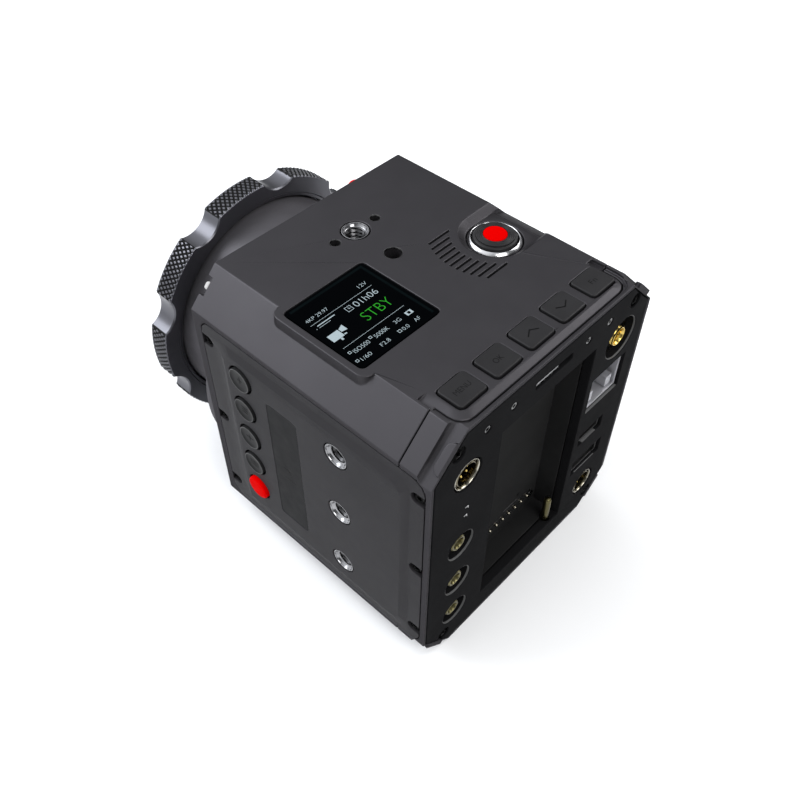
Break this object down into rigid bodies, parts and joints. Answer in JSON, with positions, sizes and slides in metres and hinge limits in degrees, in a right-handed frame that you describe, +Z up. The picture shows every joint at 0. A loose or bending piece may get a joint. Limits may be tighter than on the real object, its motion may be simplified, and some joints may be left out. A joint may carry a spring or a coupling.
{
  "type": "cinema_camera_body",
  "caption": "Compact box-shaped cinema camera body with a locking lens mount ring, a top status display, record and menu buttons, a side card door and an open rear battery bay",
  "frame": {"origin": "centre of the footprint, on the resting face", "axes": "+Z up, -Y is where the lens looks, +X is the operator's left hand side"},
  "size_m": [0.0948, 0.1194, 0.0996],
  "materials": {
    "shell_paint": "satin",
    "cover_paint": "satin",
    "black_plastic": "matte",
    "knurled_black": "satin",
    "dark_rubber": "matte",
    "signal_red": "satin",
    "polished_steel": "polished",
    "ring_chrome": "polished",
    "contact_brass": "polished",
    "display_glass_black": "polished",
    "sensor_glass": "polished",
    "lamp_white": "matte",
    "circuit_green": "satin",
    "raw_aluminium": "satin"
  },
  "bodies": {
    "camera_body": {"main_shell": "shell_paint", "rear_frame": "shell_paint", "mount_barrel": "shell_paint", "left_cover": "cover_paint", "right_cover": "cover_paint", "base_plate": "cover_paint", "rear_panel": "black_plastic", "battery_tray": "black_plastic", "sensor_block": "black_plastic", "display_module": "black_plastic", "fan_housing": "black_plastic", "side_label": "black_plastic", "mount_flange": "polished_steel", "top_insert": "polished_steel", "side_insert_1": "polished_steel", "side_insert_2": "polished_steel", "side_insert_3": "polished_steel", "base_insert_small": "polished_steel", "base_insert_large": "polished_steel", "door_pin": "polished_steel", "audio_socket": "polished_steel", "power_socket": "polished_steel", "ethernet_jack": "polished_steel", "usb_port": "polished_steel", "hdmi_port": "polished_steel", "record_ring": "ring_chrome", "battery_contacts": "contact_brass", "lens_contacts": "contact_brass", "jack_1": "contact_brass", "jack_2": "contact_brass", "jack_3": "contact_brass", "antenna_socket": "contact_brass", "display_glass": "display_glass_black", "sensor_window": "sensor_glass", "tally_lamp": "lamp_white", "sensor_board": "circuit_green", "main_board": "circuit_green", "key_board": "circuit_green", "heatsink": "raw_aluminium", "card_slot": "raw_aluminium", "microphone": "raw_aluminium"},
    "locking_ring": {"locking_ring": "knurled_black"},
    "record_button": {"record_button": "dark_rubber", "record_dot": "signal_red"},
    "key_menu": {"key_menu": "dark_rubber"},
    "key_ok": {"key_ok": "dark_rubber"},
    "key_up": {"key_up": "dark_rubber"},
    "key_down": {"key_down": "dark_rubber"},
    "key_function": {"key_function": "dark_rubber"},
    "side_button_1": {"side_button_1": "dark_rubber"},
    "side_button_2": {"side_button_2": "dark_rubber"},
    "side_button_3": {"side_button_3": "dark_rubber"},
    "side_button_4": {"side_button_4": "dark_rubber"},
    "side_record_button": {"side_record_button": "signal_red"},
    "front_record_button": {"front_record_button": "signal_red"},
    "battery_release": {"battery_release": "polished_steel"},
    "battery_latch_pin": {"battery_latch_pin": "contact_brass"},
    "card_door": {"card_door": "cover_paint"},
    "fan_rotor": {"fan_rotor": "black_plastic"}
  },
  "joints": [
    {"name": "locking_ring_turn", "type": "hinge", "parent": "camera_body", "child": "locking_ring", "pos_m": [0, -0.0553, 0.049], "axis": [0, 1, 0], "range_deg": [0, 50]},
    {"name": "record_button_press", "type": "slide", "parent": "camera_body", "child": "record_button", "axis": [0, 0, -1], "range_m": [0, 0.001], "stiffness_N_per_m": 600},
    {"name": "key_menu_press", "type": "slide", "parent": "camera_body", "child": "key_menu", "axis": [0, 0, -1], "range_m": [0, 0.0006], "stiffness_N_per_m": 600},
    {"name": "key_ok_press", "type": "slide", "parent": "camera_body", "child": "key_ok", "axis": [0, 0, -1], "range_m": [0, 0.0006], "stiffness_N_per_m": 600},
    {"name": "key_up_press", "type": "slide", "parent": "camera_body", "child": "key_up", "axis": [0, 0, -1], "range_m": [0, 0.0006], "stiffness_N_per_m": 600},
    {"name": "key_down_press", "type": "slide", "parent": "camera_body", "child": "key_down", "axis": [0, 0, -1], "range_m": [0, 0.0006], "stiffness_N_per_m": 600},
    {"name": "key_function_press", "type": "slide", "parent": "camera_body", "child": "key_function", "axis": [0, 0, -1], "range_m": [0, 0.0006], "stiffness_N_per_m": 600},
    {"name": "side_button_1_press", "type": "slide", "parent": "camera_body", "child": "side_button_1", "axis": [-1, 0, 0], "range_m": [0, 0.0006], "stiffness_N_per_m": 600},
    {"name": "side_button_2_press", "type": "slide", "parent": "camera_body", "child": "side_button_2", "axis": [-1, 0, 0], "range_m": [0, 0.0006], "stiffness_N_per_m": 600},
    {"name": "side_button_3_press", "type": "slide", "parent": "camera_body", "child": "side_button_3", "axis": [-1, 0, 0], "range_m": [0, 0.0006], "stiffness_N_per_m": 600},
    {"name": "side_button_4_press", "type": "slide", "parent": "camera_body", "child": "side_button_4", "axis": [-1, 0, 0], "range_m": [0, 0.0006], "stiffness_N_per_m": 600},
    {"name": "side_record_button_press", "type": "slide", "parent": "camera_body", "child": "side_record_button", "axis": [-1, 0, 0], "range_m": [0, 0.0006], "stiffness_N_per_m": 600},
    {"name": "front_record_button_press", "type": "slide", "parent": "camera_body", "child": "front_record_button", "axis": [0, 1, 0], "range_m": [0, 0.0008], "stiffness_N_per_m": 600},
    {"name": "battery_release_slide", "type": "slide", "parent": "camera_body", "child": "battery_release", "axis": [-1, 0, 0], "range_m": [0, 0.0045], "stiffness_N_per_m": 200, "springref_m": -0.001},
    {"name": "latch_pin_drop", "type": "slide", "parent": "camera_body", "child": "battery_latch_pin", "axis": [0, 0, -1], "range_m": [0, 0.0025]},
    {"name": "card_door_swing", "type": "hinge", "parent": "camera_body", "child": "card_door", "pos_m": [-0.04535, 0.0198, 0.06], "axis": [0, 0, 1], "range_deg": [0, 100]},
    {"name": "fan_rotor_spin", "type": "hinge", "parent": "camera_body", "child": "fan_rotor", "pos_m": [-0.0364, -0.0013, 0.049], "axis": [1, 0, 0], "continuous": true}
  ],
  "couplings": [
    {"joint": "latch_pin_drop", "follows": "battery_release_slide", "ratio": 0.5}
  ]
}
